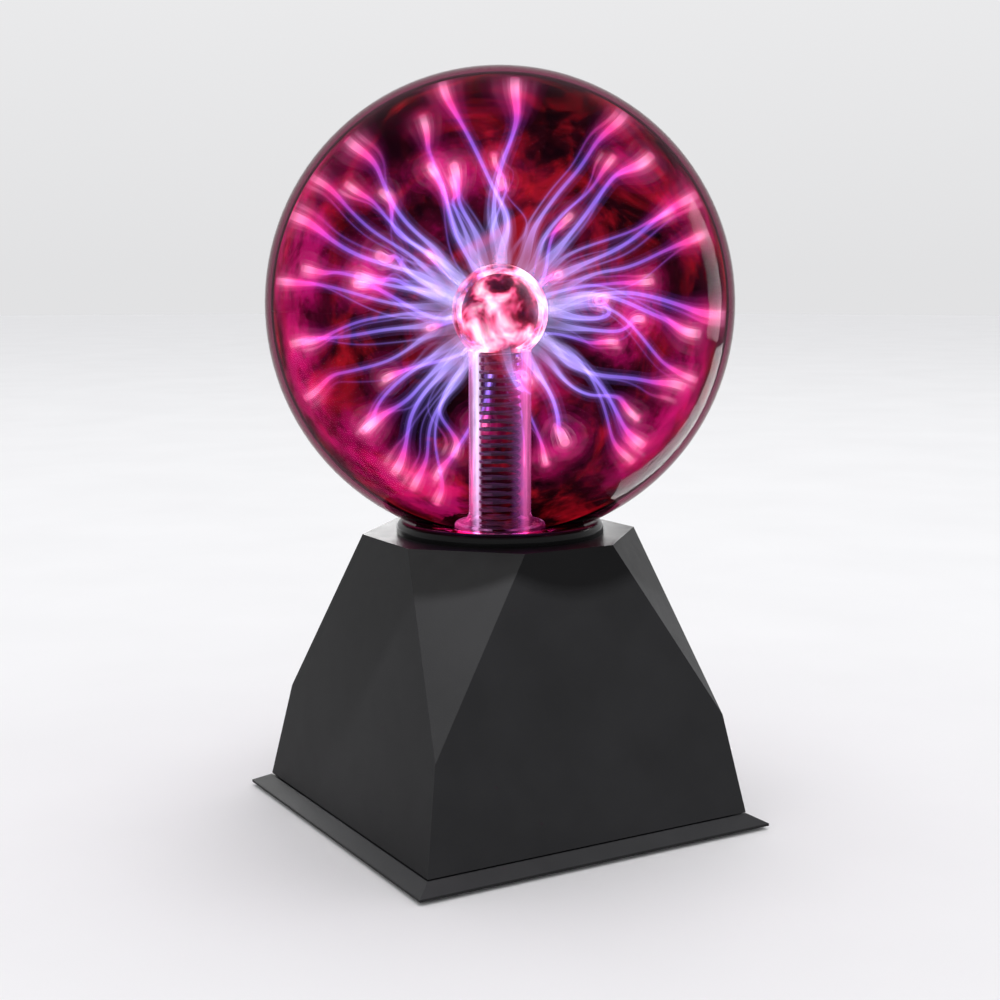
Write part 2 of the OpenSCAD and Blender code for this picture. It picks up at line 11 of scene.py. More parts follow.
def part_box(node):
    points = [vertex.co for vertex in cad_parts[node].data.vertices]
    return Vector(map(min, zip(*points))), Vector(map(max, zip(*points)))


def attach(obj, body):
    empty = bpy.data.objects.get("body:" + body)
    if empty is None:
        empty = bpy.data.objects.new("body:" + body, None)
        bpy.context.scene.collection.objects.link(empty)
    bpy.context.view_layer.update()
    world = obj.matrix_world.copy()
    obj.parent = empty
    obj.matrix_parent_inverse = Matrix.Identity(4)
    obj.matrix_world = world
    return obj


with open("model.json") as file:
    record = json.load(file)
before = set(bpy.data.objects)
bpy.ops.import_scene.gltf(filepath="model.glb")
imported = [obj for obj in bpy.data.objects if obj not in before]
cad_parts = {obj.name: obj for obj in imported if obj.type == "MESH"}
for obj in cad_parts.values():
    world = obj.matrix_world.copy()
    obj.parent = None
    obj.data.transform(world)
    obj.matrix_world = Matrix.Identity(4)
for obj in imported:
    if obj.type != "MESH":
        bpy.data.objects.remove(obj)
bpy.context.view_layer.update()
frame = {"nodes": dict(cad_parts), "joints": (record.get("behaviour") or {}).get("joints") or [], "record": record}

# Looks of a plasma ball: the glowing gas inside its globe, the glass, the black base and the parts inside.
# Lengths are in metres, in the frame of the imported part, unless a comment says mm.
MM = 0.001
scene = bpy.context.scene
nodes = frame["nodes"]

# ---- Measures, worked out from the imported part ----
globe_low, globe_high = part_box("glass_globe")
GLOBE_R = (globe_high.x - globe_low.x) / 2
GLOBE = Vector((0, 0, globe_high.z - GLOBE_R))
GLASS_WALL = 1.8 * MM     # as in the CAD
SHADE_GAP = 0.12 * MM     # between the glass and the painted shade skin
GLOW_GAP = 0.8 * MM       # between the painted shade skin and the glowing gas
SHADE_R = GLOBE_R - GLASS_WALL - SHADE_GAP
GLOW_R = SHADE_R - GLOW_GAP
bulb_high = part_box("electrode_glass")[1]
BULB_R = bulb_high.x
BULB = Vector((0, 0, bulb_high.z - BULB_R))
STEM_R = 10.2 * MM        # as in the CAD
BULB_BOTTOM = BULB.z - BULB_R * 0.8      # the stem joins the bulb here
COLLAR_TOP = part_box("globe_collar")[1].z
SKIN_BOTTOM = COLLAR_TOP - 1 * MM        # the gas ends here, behind the collar's lip

# ---- The view that the object is drawn for ----
VIEW_AZIMUTH = math.radians(-30.35)
VIEW_ELEVATION = math.radians(9.77)
VIEW_DISTANCE = 0.532
VIEW_TARGET = Vector((0, 0, 0.09))
VIEW_BACK = Vector((
    math.sin(VIEW_AZIMUTH) * math.cos(VIEW_ELEVATION),
    -math.cos(VIEW_AZIMUTH) * math.cos(VIEW_ELEVATION),
    math.sin(VIEW_ELEVATION),
))
VIEW_RIGHT = Vector((math.cos(VIEW_AZIMUTH), math.sin(VIEW_AZIMUTH), 0))
VIEW_UP = VIEW_BACK.cross(VIEW_RIGHT)

# ---- The light inside the globe ----
SHADE_PASS = 0.06         # share of light that one wall of the painted shade skin lets through
LIGHT = 1 / SHADE_PASS    # makes up for it inside the globe
WALL_TINT = (0.66, 0.1, 0.42)     # the glass is clear face on, and magenta where it is seen edge on
WALL_DENSITY = 400
WALL_PASS = [math.exp(-WALL_DENSITY * (1 - c) * GLASS_WALL) for c in WALL_TINT]

# ---- The streamers ----
# Clock angle where each leaves the bulb, clock angle of its foot on the glass, how far out the
# foot appears (1 is on the rim), and whether it leans towards the viewer (1) or away (-1).
STREAMERS = [
    (2, -15, 0.96, 1), (2, 4, 0.89, 1), (-3, -2, 0.82, -1), (26, 34, 0.97, 1), (34, 35, 0.93, -1),
    (44, 49, 0.82, 1), (52, 58, 0.95, -1), (60, 63, 0.93, 1), (70, 74, 0.9, 1), (84, 94, 0.97, 1),
    (84, 103, 0.84, 1), (86, 108, 0.96, -1), (98, 86, 0.7, -1), (122, 118, 0.86, 1), (122, 131, 0.9, -1),
    (122, 142, 0.9, 1), (134, 124, 0.8, -1), (150, 158, 0.7, 1), (172, 166, 0.42, 1), (-150, -165, 0.72, 1),
    (-146, -161, 0.92, -1), (-146, -156, 0.9, 1), (-134, -145, 0.88, -1), (-134, -137, 0.8, 1),
    (-122, -128, 0.84, -1), (-112, -118, 0.93, 1), (-100, -104, 0.9, 1), (-92, -97, 0.93, -1),
    (-86, -86, 0.95, 1), (-84, -90, 0.56, 1), (-78, -81, 0.48, 1), (-74, -76, 0.95, -1),
    (-70, -68, 0.97, 1), (-60, -57, 0.97, 1), (-52, -49, 0.95, -1), (-52, -45, 0.9, 1), (-48, -42, 0.85, -1),
    (-24, -25, 0.74, 1), (-24, -18, 0.76, -1), (-20, -23, 0.46, 1), (0, 0, 0.37, 1), (96, 104, 0.42, 1),
]
BACK_STREAMERS = 14       # more of them on the far side, which the list leaves bare
BACK_REACH = 0.85         # how far out the last of those appears
FOOT_SCATTER, ROOT_SCATTER = 12, 14      # their clock angles are off by up to this, in degrees
STEM_CLEAR = math.radians(28)     # none of them lands nearer to the stem than this
BACK_SEED, STRAND_SEED, GLOW_SEED = 11, 5, 3
STREAMER_STEPS = 44
ALONG = [step / STREAMER_STEPS for step in range(STREAMER_STEPS + 1)]
SWAY, SECOND_SWAY = 5 * MM, 7 * MM       # of a streamer, and of the finer one beside it
SWAY_WAVES = 1.9          # how often it swings on its way
ROOT_NUDGE, FOOT_NUDGE = 0.16, 0.05      # shifts of the finer one's ends, as shares of the radius
SKIN_SIDES, VEIL_SIDES = 10, 16
THREAD_R, ROOT_FLARE, FOOT_FLARE = 0.46, 1.1, 0.7    # of the core, in mm
# Nested skins of every strand: how much wider than its core, and how strong.
SKINS = {
    "streamer_core": (1.0, 0.42), "streamer_sheath": (1.6, 0.14), "streamer_glow": (2.7, 0.08),
    "streamer_haze": (5.2, 0.03),
}
ROOT_WIDEN = 1.6          # skins wider than this don't widen the flare at the bulb any more
# Nested cones of light round every foot: how wide, and how strong.
VEILS = {
    "foot_veil_1": (0.45, 0.04), "foot_veil_2": (0.75, 0.035), "foot_veil_3": (1.05, 0.03),
    "foot_veil_4": (1.4, 0.022), "foot_veil_5": (1.8, 0.015),
}
VEIL_START = 0.62         # share of the way to the glass where the cones begin
VEIL_R, VEIL_FLARE = 0.8, 4.6            # in mm
# Glow without a streamer: clock angle, how far out, towards or away, radius in mm, power.
GLOWS = [
    (-58, 0.93, 1, 15, 0.55), (-72, 0.96, -1, 17, 0.75), (-86, 0.95, 1, 15, 0.75),
    (-101, 0.96, -1, 17, 0.85), (-114, 0.95, 1, 15, 0.8), (-129, 0.95, -1, 17, 0.85),
    (-143, 0.95, 1, 16, 0.8), (-157, 0.93, -1, 16, 0.75), (140, 0.95, -1, 17, 0.6),
    (126, 0.96, 1, 14, 0.5), (112, 0.95, -1, 15, 0.4), (64, 0.95, -1, 15, 0.5),
    (-8, 0.96, -1, 13, 0.35), (-38, 0.95, 1, 12, 0.35), (60, 0.62, -1, 13, 0.4),
    (152, 0.55, 1, 14, 0.35),
]

# ---- The raised marks on the switch, in mm ----
FACE_OUT = 2.4            # from the rocker's pivot to the middle of its face
FACE_RISE, FACE_HALF = 1.0, 7.56         # the face rises this much from its middle to each end
MARK_OFFSET = 4.0         # from the middle of the face to each mark
MARK_SUNK, MARK_HEIGHT = 0.3, 0.12       # below and above the face
RING_OUTER_R, RING_INNER_R = 1.25, 0.9   # the O
BAR_R, BAR_HALF = 0.18, 1.1              # the I: its round ends, and half the distance between them
MARK_STEPS = 40

# ---- Plain finishes, one for each slot; grain depth in mm ----
MOULDED = {
    "housing_black": dict(code="#111112", roughness=0.38, grain=2600, depth=0.03, specular=0.08),
    "collar_black": dict(code="#0a0a0b", roughness=0.2, grain=500, depth=0.006, specular=0.15),
    "rubber": dict(code="#1c1c1c", roughness=0.85, grain=1800, depth=0.06, specular=0.3),
    "white_plastic": dict(code="#e2e2dc", roughness=0.5, grain=1400, depth=0.02, change=0.05),
    "black_plastic": dict(code="#1b1b1d", roughness=0.35, grain=2200, depth=0.02),
    "silicone": dict(code="#dcdcd8", roughness=0.4, grain=300, depth=0.15, change=0.08),
    "ferrite": dict(code="#2e2e33", roughness=0.6, grain=3000, depth=0.05, change=0.25),
    "can_sleeve": dict(code="#1b2f66", roughness=0.25, grain=900, depth=0.01, coat=0.5),
    "film_red": dict(code="#8e1414", roughness=0.2, grain=260, depth=0.12, coat=0.6),
    "lead_red": dict(code="#b01818", roughness=0.4, grain=900, depth=0.02),
    "mark_white": dict(code="#dededa", roughness=0.45, grain=1500, depth=0.01),
}
PLATED = {
    "screw_steel": dict(code="#b4b6ba", tarnish="#8f8a78", roughness=0.3),
    "brass": dict(code="#d6a848", tarnish="#8f6a28", roughness=0.28, stretch=(1, 1, 4)),
    "copper": dict(code="#c8794a", tarnish="#7c4024", roughness=0.3, stretch=(4, 1, 1)),
    "aluminium": dict(code="#c4c6c9", roughness=0.35, stretch=(1, 1, 0.05)),
}
# Rounded edges of the moulded pieces that are seen, in mm.
EDGED = {"base_housing": 0.55, "base_plate": 0.45, "switch_frame": 0.2, "dc_jack_shell": 0.15}


def colour(code):
    """The linear colour of a hex code such as "#c8bef0"."""
    parts = [int(code[i:i + 2], 16) / 255 for i in (1, 3, 5)]
    return [p / 12.92 if p <= 0.04045 else ((p + 0.055) / 1.055) ** 2.4 for p in parts] + [1.0]


def inside(code):
    """A colour that looks like the hex code once the wall of the globe has tinted it."""
    return [c / p for c, p in zip(colour(code), WALL_PASS)] + [1.0]


def smooth(low, high, value):
    """0 below low, 1 above high, and an S curve between."""
    share = min(max((value - low) / (high - low), 0.0), 1.0)
    return share * share * (3 - 2 * share)


# ---- Node helpers ----
def new_material(name):
    """An empty material and its node tree."""
    material = bpy.data.materials.new(name)
    material.use_nodes = True
    material.node_tree.nodes.clear()
    return material, material.node_tree


def add(tree, kind, inputs=None, **settings):
    """A shader node with its settings, and its inputs set to values or linked to sockets."""
    made = tree.nodes.new(kind)
    for key, value in settings.items():
        setattr(made, key, value)
    for key, value in (inputs or {}).items():
        if isinstance(value, bpy.types.NodeSocket):
            tree.links.new(value, made.inputs[key])
        else:
            made.inputs[key].default_value = value
    return made


def object_place(tree):
    return add(tree, "ShaderNodeTexCoord").outputs["Object"]


def maths(tree, operation, first, second):
    return add(tree, "ShaderNodeMath", {0: first, 1: second}, operation=operation).outputs[0]


def mixed(tree, first, second, share=1.0, blend="MIX"):
    """The first colour with a share of the second mixed in, added or multiplied."""
    factor_in, first_in, second_in, colour_out = 0, 6, 7, 2      # its colour sockets share their names
    return add(
        tree, "ShaderNodeMix", {factor_in: share, first_in: first, second_in: second},
        data_type="RGBA", blend_type=blend,
    ).outputs[colour_out]


def ramp(tree, value, stops, interpolation="LINEAR"):
    """A colour ramp through (position, colour) stops."""
    made = add(tree, "ShaderNodeValToRGB", {0: value})
    made.color_ramp.interpolation = interpolation
    elements = made.color_ramp.elements
    while len(elements) < len(stops):
        elements.new(0.5)
    for element, (position, tint) in zip(elements, stops):
        element.position = position
        element.color = tint
    return made.outputs["Color"]


def inner_ramp(tree, value, stops):
    """A ramp through (position, hex code) stops for a light that is seen through the globe's wall."""
    return ramp(tree, value, [(position, inside(code)) for position, code in stops])


def noise_at(tree, vector, scale, detail=2.0, roughness=0.5, distortion=0.0):
    return add(
        tree, "ShaderNodeTexNoise",
        {"Vector": vector, "Scale": scale, "Detail": detail, "Roughness": roughness,
         "Distortion": distortion},
    ).outputs["Fac"]


def stretched(tree, vector, scale):
    return add(tree, "ShaderNodeMapping", {"Vector": vector, "Scale": scale}).outputs["Vector"]


def split(tree, vector):
    """The x, y and z of a vector."""
    return add(tree, "ShaderNodeSeparateXYZ", {"Vector": vector}).outputs


def spread(tree, value, low, high, start=0.0):
    """A value that runs from start to 1, spread over low to high."""
    return add(
        tree, "ShaderNodeMapRange", {"Value": value, "From Min": start, "To Min": low, "To Max": high}
    ).outputs[0]


def shades(tree, value, tint, change):
    """The tint, darker and lighter by a share of itself as value goes from 0.3 to 0.7."""
    low = [c * (1 - change) for c in tint[:3]] + [1.0]
    high = [min(c * (1 + change), 1.0) for c in tint[:3]] + [1.0]
    return ramp(tree, value, [(0.3, low), (0.7, high)])


def bumped(tree, height, distance, strength=1.0):
    return add(
        tree, "ShaderNodeBump", {"Height": height, "Distance": distance, "Strength": strength}
    ).outputs["Normal"]


def attribute(tree, name):
    return add(tree, "ShaderNodeAttribute", attribute_name=name).outputs["Fac"]


def principled(tree, **inputs):
    names = {key.replace("_", " "): value for key, value in inputs.items()}
    return add(tree, "ShaderNodeBsdfPrincipled", names).outputs["BSDF"]


def added_light(tree, tint, strength):
    """Light added to whatever is behind it."""
    emission = add(tree, "ShaderNodeEmission", {"Color": tint, "Strength": strength}).outputs[0]
    clear = add(tree, "ShaderNodeBsdfTransparent").outputs[0]
    return add(tree, "ShaderNodeAddShader", {0: clear, 1: emission}).outputs[0]


def finish_with(material, surface, **volume):
    add(material.node_tree, "ShaderNodeOutputMaterial", {"Surface": surface, **volume})
    return material


# ---- Materials ----
def moulded(name, code, roughness, grain, depth, change=0.12, coat=0.0, specular=0.5):
    """Moulded plastic or rubber: a fine spark-eroded grain, with slow changes in colour and polish."""
    material, tree = new_material(name)
    at = object_place(tree)
    polish = noise_at(tree, at, 160, detail=4)
    sparks = noise_at(tree, at, grain, detail=3, roughness=0.6)
    shader = principled(
        tree,
        Base_Color=shades(tree, noise_at(tree, at, 45, detail=3), colour(code), change),
        Roughness=spread(tree, polish, roughness * 0.88, roughness * 1.12),
        Specular_IOR_Level=specular,
        Coat_Weight=coat,
        Coat_Roughness=0.06,
        Normal=bumped(tree, sparks, depth * MM),
    )
    return finish_with(material, shader)


def plated(name, code, roughness, stretch=(1, 1, 1), tarnish=None):
    """Metal with fine drawn or brushed lines, and tarnish in soft patches."""
    material, tree = new_material(name)
    at = object_place(tree)
    lines = noise_at(tree, stretched(tree, at, stretch), 900, detail=4)
    patches = noise_at(tree, at, 220, detail=4, roughness=0.6, distortion=0.5)
    bright = colour(code)
    dull = colour(tarnish) if tarnish else [c * 0.7 for c in bright[:3]] + [1.0]
    shader = principled(
        tree,
        Base_Color=ramp(tree, patches, [(0.35, bright), (0.72, dull)]),
        Metallic=1.0,
        Roughness=spread(tree, lines, roughness * 0.7, roughness * 1.3),
        Normal=bumped(tree, lines, 0.01 * MM),
    )
    return finish_with(material, shader)


def globe_glass():
    """Clear blown glass with the faintest waves, and a wall that tints what is seen along it."""
    material, tree = new_material("globe_glass")
    at = object_place(tree)
    shader = principled(
        tree,
        Base_Color=(1.0, 1.0, 1.0, 1.0),
        Roughness=0.0,
        IOR=1.04,
        Transmission_Weight=1.0,
        Specular_Tint=(0.3, 0.2, 0.28, 1.0),
        Normal=bumped(tree, noise_at(tree, at, 22, detail=1), 0.02 * MM, strength=0.4),
    )
    wall = add(tree, "ShaderNodeVolumeAbsorption", {"Color": (*WALL_TINT, 1.0), "Density": WALL_DENSITY})
    return finish_with(material, shader, Volume=wall.outputs[0])


def bulb_patches(tree, at):
    """The pattern of the discharge over the bulb, the same on its glass and, as painted light, on the wool inside.
    """
    return noise_at(tree, at, 96, detail=3, roughness=0.6, distortion=0.4)


def painted_stem_highlights(tree, at, x, y):
    """Painted highlights: a bright line up each side of the stem as seen from the drawn view, between a dark edge
    and a dark middle, unevenly mottled.
    """
    across = maths(
        tree, "ADD",
        maths(tree, "MULTIPLY", x, VIEW_RIGHT.x / STEM_R),
        maths(tree, "MULTIPLY", y, VIEW_RIGHT.y / STEM_R),
    )
    # Painted highlights: glowing lines fixed to the stem's left and right sides along VIEW_RIGHT, though the stem
    # is no lamp.
    lines = inner_ramp(tree, spread(tree, across, 0.0, 1.0, start=-1.0), [
        (0.0, "#a04078"), (0.05, "#281028"), (0.09, "#a89cc0"), (0.15, "#c4bcd8"), (0.18, "#100410"),
        (0.25, "#000000"), (0.68, "#000000"), (0.74, "#30183c"), (0.86, "#68386c"), (0.93, "#b05c90"),
        (0.97, "#702850"), (1.0, "#401030"),
    ])
    mottle = noise_at(tree, stretched(tree, at, (1, 1, 0.5)), 420, detail=4, roughness=0.6)
    return mixed(tree, lines, spread(tree, mottle, 0.3, 1.6), blend="MULTIPLY")


def electrode_glass():
    """The bulb glows in pink patches with dark gaps, and the stem has a painted highlight line up each side."""
    material, tree = new_material("electrode_glass")
    at = object_place(tree)
    x, y, z = split(tree, at)
    bulb_light = inner_ramp(tree, bulb_patches(tree, at), [
        (0.42, "#000000"), (0.47, "#6a0c20"), (0.51, "#e04878"), (0.56, "#ff98c0"), (0.63, "#fff0fa"),
    ])
    is_bulb = maths(tree, "GREATER_THAN", z, BULB_BOTTOM)
    shader = principled(
        tree,
        Base_Color=(1.0, 0.9, 0.96, 1.0),
        Roughness=0.02,
        IOR=1.2,
        Transmission_Weight=1.0,
        Emission_Color=mixed(tree, painted_stem_highlights(tree, at, x, y), bulb_light, is_bulb),
        Emission_Strength=0.6 * LIGHT,
    )
    return finish_with(material, shader)


def electrode_wool():
    """Packed steel wool, with pink light from the discharge painted on it as glow."""
    material, tree = new_material("electrode_wool")
    at = object_place(tree)
    flattened = stretched(tree, at, (1, 1, 5))
    strands = noise_at(tree, flattened, 600, detail=4, roughness=0.6, distortion=3.0)
    shader = principled(
        tree,
        Base_Color=shades(tree, strands, colour("#5c5056"), 0.5),
        Metallic=0.8,
        Roughness=0.45,
        # Painted light: the discharge's pink light on the wool, as glow.
        Emission_Color=inner_ramp(
            tree, bulb_patches(tree, at), [(0.42, "#000000"), (0.48, "#a01840"), (0.6, "#ff9ac4")]
        ),
        Emission_Strength=0.12 * LIGHT,
        Normal=bumped(tree, strands, 0.3 * MM),
    )
    return finish_with(material, shader)


def spring_steel():
    """Drawn spring wire, with faint painted light from the discharge as glow."""
    material, tree = new_material("spring_steel")
    at = object_place(tree)
    shader = principled(
        tree,
        Base_Color=shades(tree, noise_at(tree, at, 900, detail=3), colour("#625e6a"), 0.2),
        Metallic=1.0,
        Roughness=0.28,
        # Painted light: the discharge's faint light on the wire, as glow.
        Emission_Color=inside("#d8b8e8"),
        Emission_Strength=0.03 * LIGHT,
    )
    return finish_with(material, shader)


def board_green():
    """Solder mask over tracks, with tinned pads."""
    material, tree = new_material("board_green")
    at = object_place(tree)
    tracks = add(tree, "ShaderNodeTexBrick", {
        "Vector": at, "Scale": 55.0, "Mortar Size": 0.03, "Brick Width": 0.7, "Row Height": 0.22,
    }).outputs["Fac"]
    pads = add(tree, "ShaderNodeTexVoronoi", {"Vector": at, "Scale": 260.0}).outputs["Distance"]
    on_pad = maths(tree, "LESS_THAN", pads, 0.17)
    mask = shades(tree, tracks, colour("#0f5a30"), 0.35)
    shader = principled(
        tree,
        Base_Color=mixed(tree, mask, colour("#c3c4c0"), on_pad),
        Metallic=on_pad,
        Roughness=0.28,
        Normal=bumped(tree, tracks, 0.04 * MM),
    )
    return finish_with(material, shader)


def winding_tape():
    """Yellow tape wound in even bands round the transformer's winding."""
    tape_pitch = 1.2 * MM
    wave_step = 0.314         # a wave texture at scale 1 repeats after this
    material, tree = new_material("winding_tape")
    at = object_place(tree)
    bands = add(
        tree, "ShaderNodeTexWave", {"Vector": at, "Scale": wave_step / tape_pitch, "Distortion": 0.4},
        bands_direction="Z",
    ).outputs["Fac"]
    shader = principled(
        tree,
        Base_Color=shades(tree, bands, colour("#c9962a"), 0.3),
        Roughness=0.3,
        Coat_Weight=0.4,
        Coat_Roughness=0.1,
        Normal=bumped(tree, bands, 0.06 * MM),
    )
    return finish_with(material, shader)


def resistor_tan():
    """Tan lacquer with colour-code rings."""
    resistor_length = 6.3 * MM
    material, tree = new_material("resistor_tan")
    at = object_place(tree)
    along = maths(tree, "FRACT", maths(tree, "MULTIPLY", split(tree, at)[0], 1 / resistor_length), 0.0)
    lacquer = "#c9a46c"
    rings = [
        (0.18, 0.26, "#5a2d10"), (0.36, 0.44, "#141414"), (0.54, 0.62, "#a01818"), (0.78, 0.86, "#b08a30"),
    ]
    stops = [(0.0, colour(lacquer))]
    for start, end, code in rings:
        stops += [(start, colour(code)), (end, colour(lacquer))]
    shader = principled(
        tree,
        Base_Color=ramp(tree, along, stops, "CONSTANT"),
        Roughness=0.3,
        Coat_Weight=0.5,
        Normal=bumped(tree, noise_at(tree, at, 700), 0.02 * MM),
    )
    return finish_with(material, shader)


def painted_shade_skin():
    """Painted shade: a dark see-through skin just inside the glass that darkens all seen through it, and nothing
    else.
    """
    material, tree = new_material("painted_shade_skin")
    at = object_place(tree)
    # Painted shade: how much the dark skin hides of what lies behind it, varied a little.
    haze = noise_at(tree, at, 30, detail=3)
    shader = principled(
        tree,
        Base_Color=(0.0, 0.0, 0.0, 1.0),
        Roughness=1.0,
        Specular_IOR_Level=0.0,
        Alpha=spread(tree, haze, 1 - SHADE_PASS * 1.2, 1 - SHADE_PASS * 0.8),
    )
    return finish_with(material, shader)


def gas_glow():
    """Glowing gas at the glass: dark red clouds, and magenta with a white heart where a streamer lands."""
    material, tree = new_material("gas_glow")
    at = object_place(tree)
    clouds = noise_at(tree, at, 34, detail=4.5, roughness=0.6, distortion=0.8)
    cloud_light = inner_ramp(
        tree, clouds, [(0.47, "#000000"), (0.53, "#2c0408"), (0.59, "#7a0c16"), (0.68, "#c81a2c")]
    )
    breakup = spread(tree, noise_at(tree, at, 110, detail=3, roughness=0.65), -0.5, 2.1)
    halo = maths(tree, "MULTIPLY", attribute(tree, "halo"), breakup)
    halo_light = inner_ramp(tree, halo, [
        (0.0, "#000000"), (0.15, "#1c020e"), (0.4, "#60082e"), (0.7, "#b00c60"), (1.0, "#e81e88"),
    ])
    hot_light = inner_ramp(
        tree, attribute(tree, "hot"), [(0.2, "#000000"), (0.7, "#ff4a9c"), (1.0, "#ffd0ea")]
    )
    clouds_and_halo = mixed(tree, cloud_light, halo_light, blend="ADD")
    tint = mixed(tree, clouds_and_halo, hot_light, blend="ADD")
    return finish_with(material, added_light(tree, tint, 0.5 * LIGHT))


def streamer_light(name, strength, stops):
    """Light whose colour changes on its way from the bulb to the glass."""
    material, tree = new_material(name)
    tint = inner_ramp(tree, attribute(tree, "along"), stops)
    power = maths(tree, "MULTIPLY", attribute(tree, "power"), strength * LIGHT)
    return finish_with(material, added_light(tree, tint, power))


def skin_light(name, strength):
    """Lavender white at the bulb, blue violet half way, and pink to white where it meets the glass."""
    return streamer_light(name, strength, [
        (0.0, "#c0b2f4"), (0.2, "#a294ee"), (0.45, "#8672e0"), (0.66, "#7f5cd6"), (0.79, "#b44cc4"),
        (0.89, "#ff5aa6"), (1.0, "#ffd6ee"),
    ])


def veil_light(name, strength):
    """Violet to magenta, towards the glass."""
    return streamer_light(name, strength, [(0.7, "#6010a0"), (0.85, "#d01090"), (1.0, "#ff2a9c")])


SPECIAL = {
    "globe_glass": globe_glass, "electrode_glass": electrode_glass, "electrode_wool": electrode_wool,
    "spring_steel": spring_steel, "board_green": board_green, "winding_tape": winding_tape,
    "resistor_tan": resistor_tan,
}


def finish_of(slot):
    """The material of a slot."""
    if slot in MOULDED:
        return moulded(slot, **MOULDED[slot])
    if slot in PLATED:
        return plated(slot, **PLATED[slot])
    return SPECIAL[slot]()


# ---- Geometry helpers ----
def new_piece(name, mesh, material, body, rounded=True):
    """Puts a mesh in the scene as a piece that goes with a body."""
    piece = bpy.data.objects.new(name, mesh)
    scene.collection.objects.link(piece)
    mesh.materials.append(material)
    mesh.polygons.foreach_set("use_smooth", [rounded] * len(mesh.polygons))
    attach(piece, body)


def give_attributes(mesh, **values):
    """Stores a number for each point of the mesh, for its material to read."""
    for name, numbers in values.items():
        mesh.attributes.new(name, "FLOAT", "POINT").data.foreach_set("value", numbers)


def clock_direction(clock, reach, side):
    """The direction that appears at a clock angle and a share of the rim, leaning to or from the viewer."""
    angle = math.radians(clock)
    flat = VIEW_RIGHT * math.sin(angle) + VIEW_UP * math.cos(angle)
    return (flat * reach + VIEW_BACK * side * math.sqrt(1 - reach * reach)).normalized()


# ---- The streamers ----
def listed_ends():
    """Root and foot directions of the streamers that are listed by hand."""
    ends = []
    for root_clock, foot_clock, reach, side in STREAMERS:
        # One that lands far out also leaves the bulb near its outline.
        root_reach = 0.75 + 0.25 * reach if reach > 0.6 else 0.8
        root = clock_direction(root_clock, root_reach, side)
        ends.append((root, clock_direction(foot_clock, reach, side)))
    return ends


def back_ends():
    """Root and foot directions of the seeded ones, spread evenly over the far side like sunflower seeds."""
    chance = random.Random(BACK_SEED)
    golden_angle = math.pi * (3 - math.sqrt(5))
    ends = []
    for index in range(BACK_STREAMERS):
        reach = math.sqrt((index + 0.5) / BACK_STREAMERS) * BACK_REACH
        clock = math.degrees(index * golden_angle) + chance.uniform(-FOOT_SCATTER, FOOT_SCATTER)
        foot = clock_direction(clock, reach, side=-1)
        if foot.angle(Vector((0, 0, -1))) < STEM_CLEAR:
            continue
        root_clock = clock + chance.uniform(-ROOT_SCATTER, ROOT_SCATTER)
        ends.append((clock_direction(root_clock, reach * 0.8, side=-1), foot))
    return ends


def swing_at(spot):
    """A smooth random swing of up to about half a unit each way. (noise_vector differs from run to run.)"""
    return Vector([noise.noise(spot + Vector((apart, 0, 0))) for apart in (0, 71.3, 143.9)])


def streamer_path(root, foot, seed, sway):
    """Points from the bulb's surface to the gas at the glass, swaying between, square to both."""
    chance = random.Random(seed)
    shift = Vector((chance.uniform(0, 50), chance.uniform(0, 50), chance.uniform(0, 50)))
    turn_start = chance.uniform(0.1, 0.3)
    points = []
    for share in ALONG:
        direction = foot
        if root.angle(foot) > 0.001:
            direction = root.slerp(foot, smooth(turn_start, 0.95, share))
        point = BULB.lerp(GLOBE, share) + direction * (BULB_R + (GLOW_R - BULB_R) * share)
        swing = swing_at(shift + Vector((share * SWAY_WAVES, 0, 0)))
        swing -= direction * swing.dot(direction)
        calm = smooth(0, 0.25, share) * (1 - smooth(0.75, 1, share))
        points.append(point + swing * sway * calm)
    return points


def nudged(direction, most, chance):
    return (direction + Vector([chance.uniform(-1, 1) for _ in range(3)]) * most).normalized()


def streamer_strands(ends):
    """Every streamer and the finer one beside it, as (path, thickness, brightness)."""
    chance = random.Random(STRAND_SEED)
    strands = []
    for seed, (root, foot) in enumerate(ends):
        weight = chance.uniform(0.75, 1.25)
        strands.append((streamer_path(root, foot, seed, SWAY), weight, weight))
        second_root = nudged(root, ROOT_NUDGE, chance)
        second_foot = nudged(foot, FOOT_NUDGE, chance)
        path = streamer_path(second_root, second_foot, seed, SECOND_SWAY)
        strands.append((path, weight * 0.5, weight * chance.uniform(0.15, 0.4)))
    return strands


def skin_radius(share, widen):
    """Half the width of a skin in mm: a thread with a flare at the bulb, and a wider end at the glass."""
    root_flare = ROOT_FLARE * (1 - smooth(0, 0.35, share))
    foot_flare = FOOT_FLARE * smooth(0.72, 1.0, share)
    return (THREAD_R + foot_flare) * widen + root_flare * min(widen, ROOT_WIDEN)


def skin_power(share):
    """Weak at the bulb, where many skins lie over each other, and fading as it reaches the glass."""
    power = 0.2 + 0.58 * smooth(0.05, 0.3, share) + 0.15 * smooth(0.75, 0.95, share)
    return power * (1 - 0.7 * smooth(0.94, 1.0, share))


